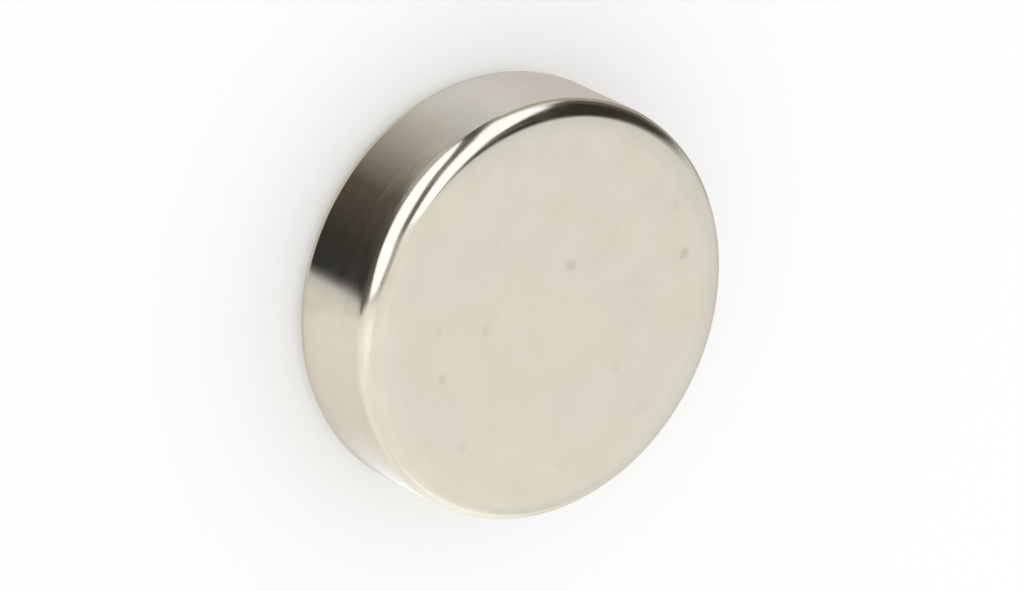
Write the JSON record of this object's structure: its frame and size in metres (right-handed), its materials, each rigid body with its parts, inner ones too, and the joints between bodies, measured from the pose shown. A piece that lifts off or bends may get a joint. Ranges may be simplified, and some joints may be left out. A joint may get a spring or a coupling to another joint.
{
  "type": "disc magnet",
  "caption": "Plain solid disc magnet: a flat round puck with two flat end faces, a straight cylindrical rim and small rounded edges, plated all over in warm bright nickel.",
  "frame": {"origin": "centre of the lower end face, on the surface that the disc lies on", "axes": "+Z is the disc's axis, from the lower end face to the upper one; X and Y are free, because the disc is round"},
  "size_m": [0.01, 0.01, 0.003],
  "materials": {
    "nickel_plate": "bright nickel plating: near mirror on the rim and the tumbled edges, a fine satin on the ground end faces"
  },
  "bodies": {
    "root": {"magnet_disc": "nickel_plate"}
  },
  "joints": []
}
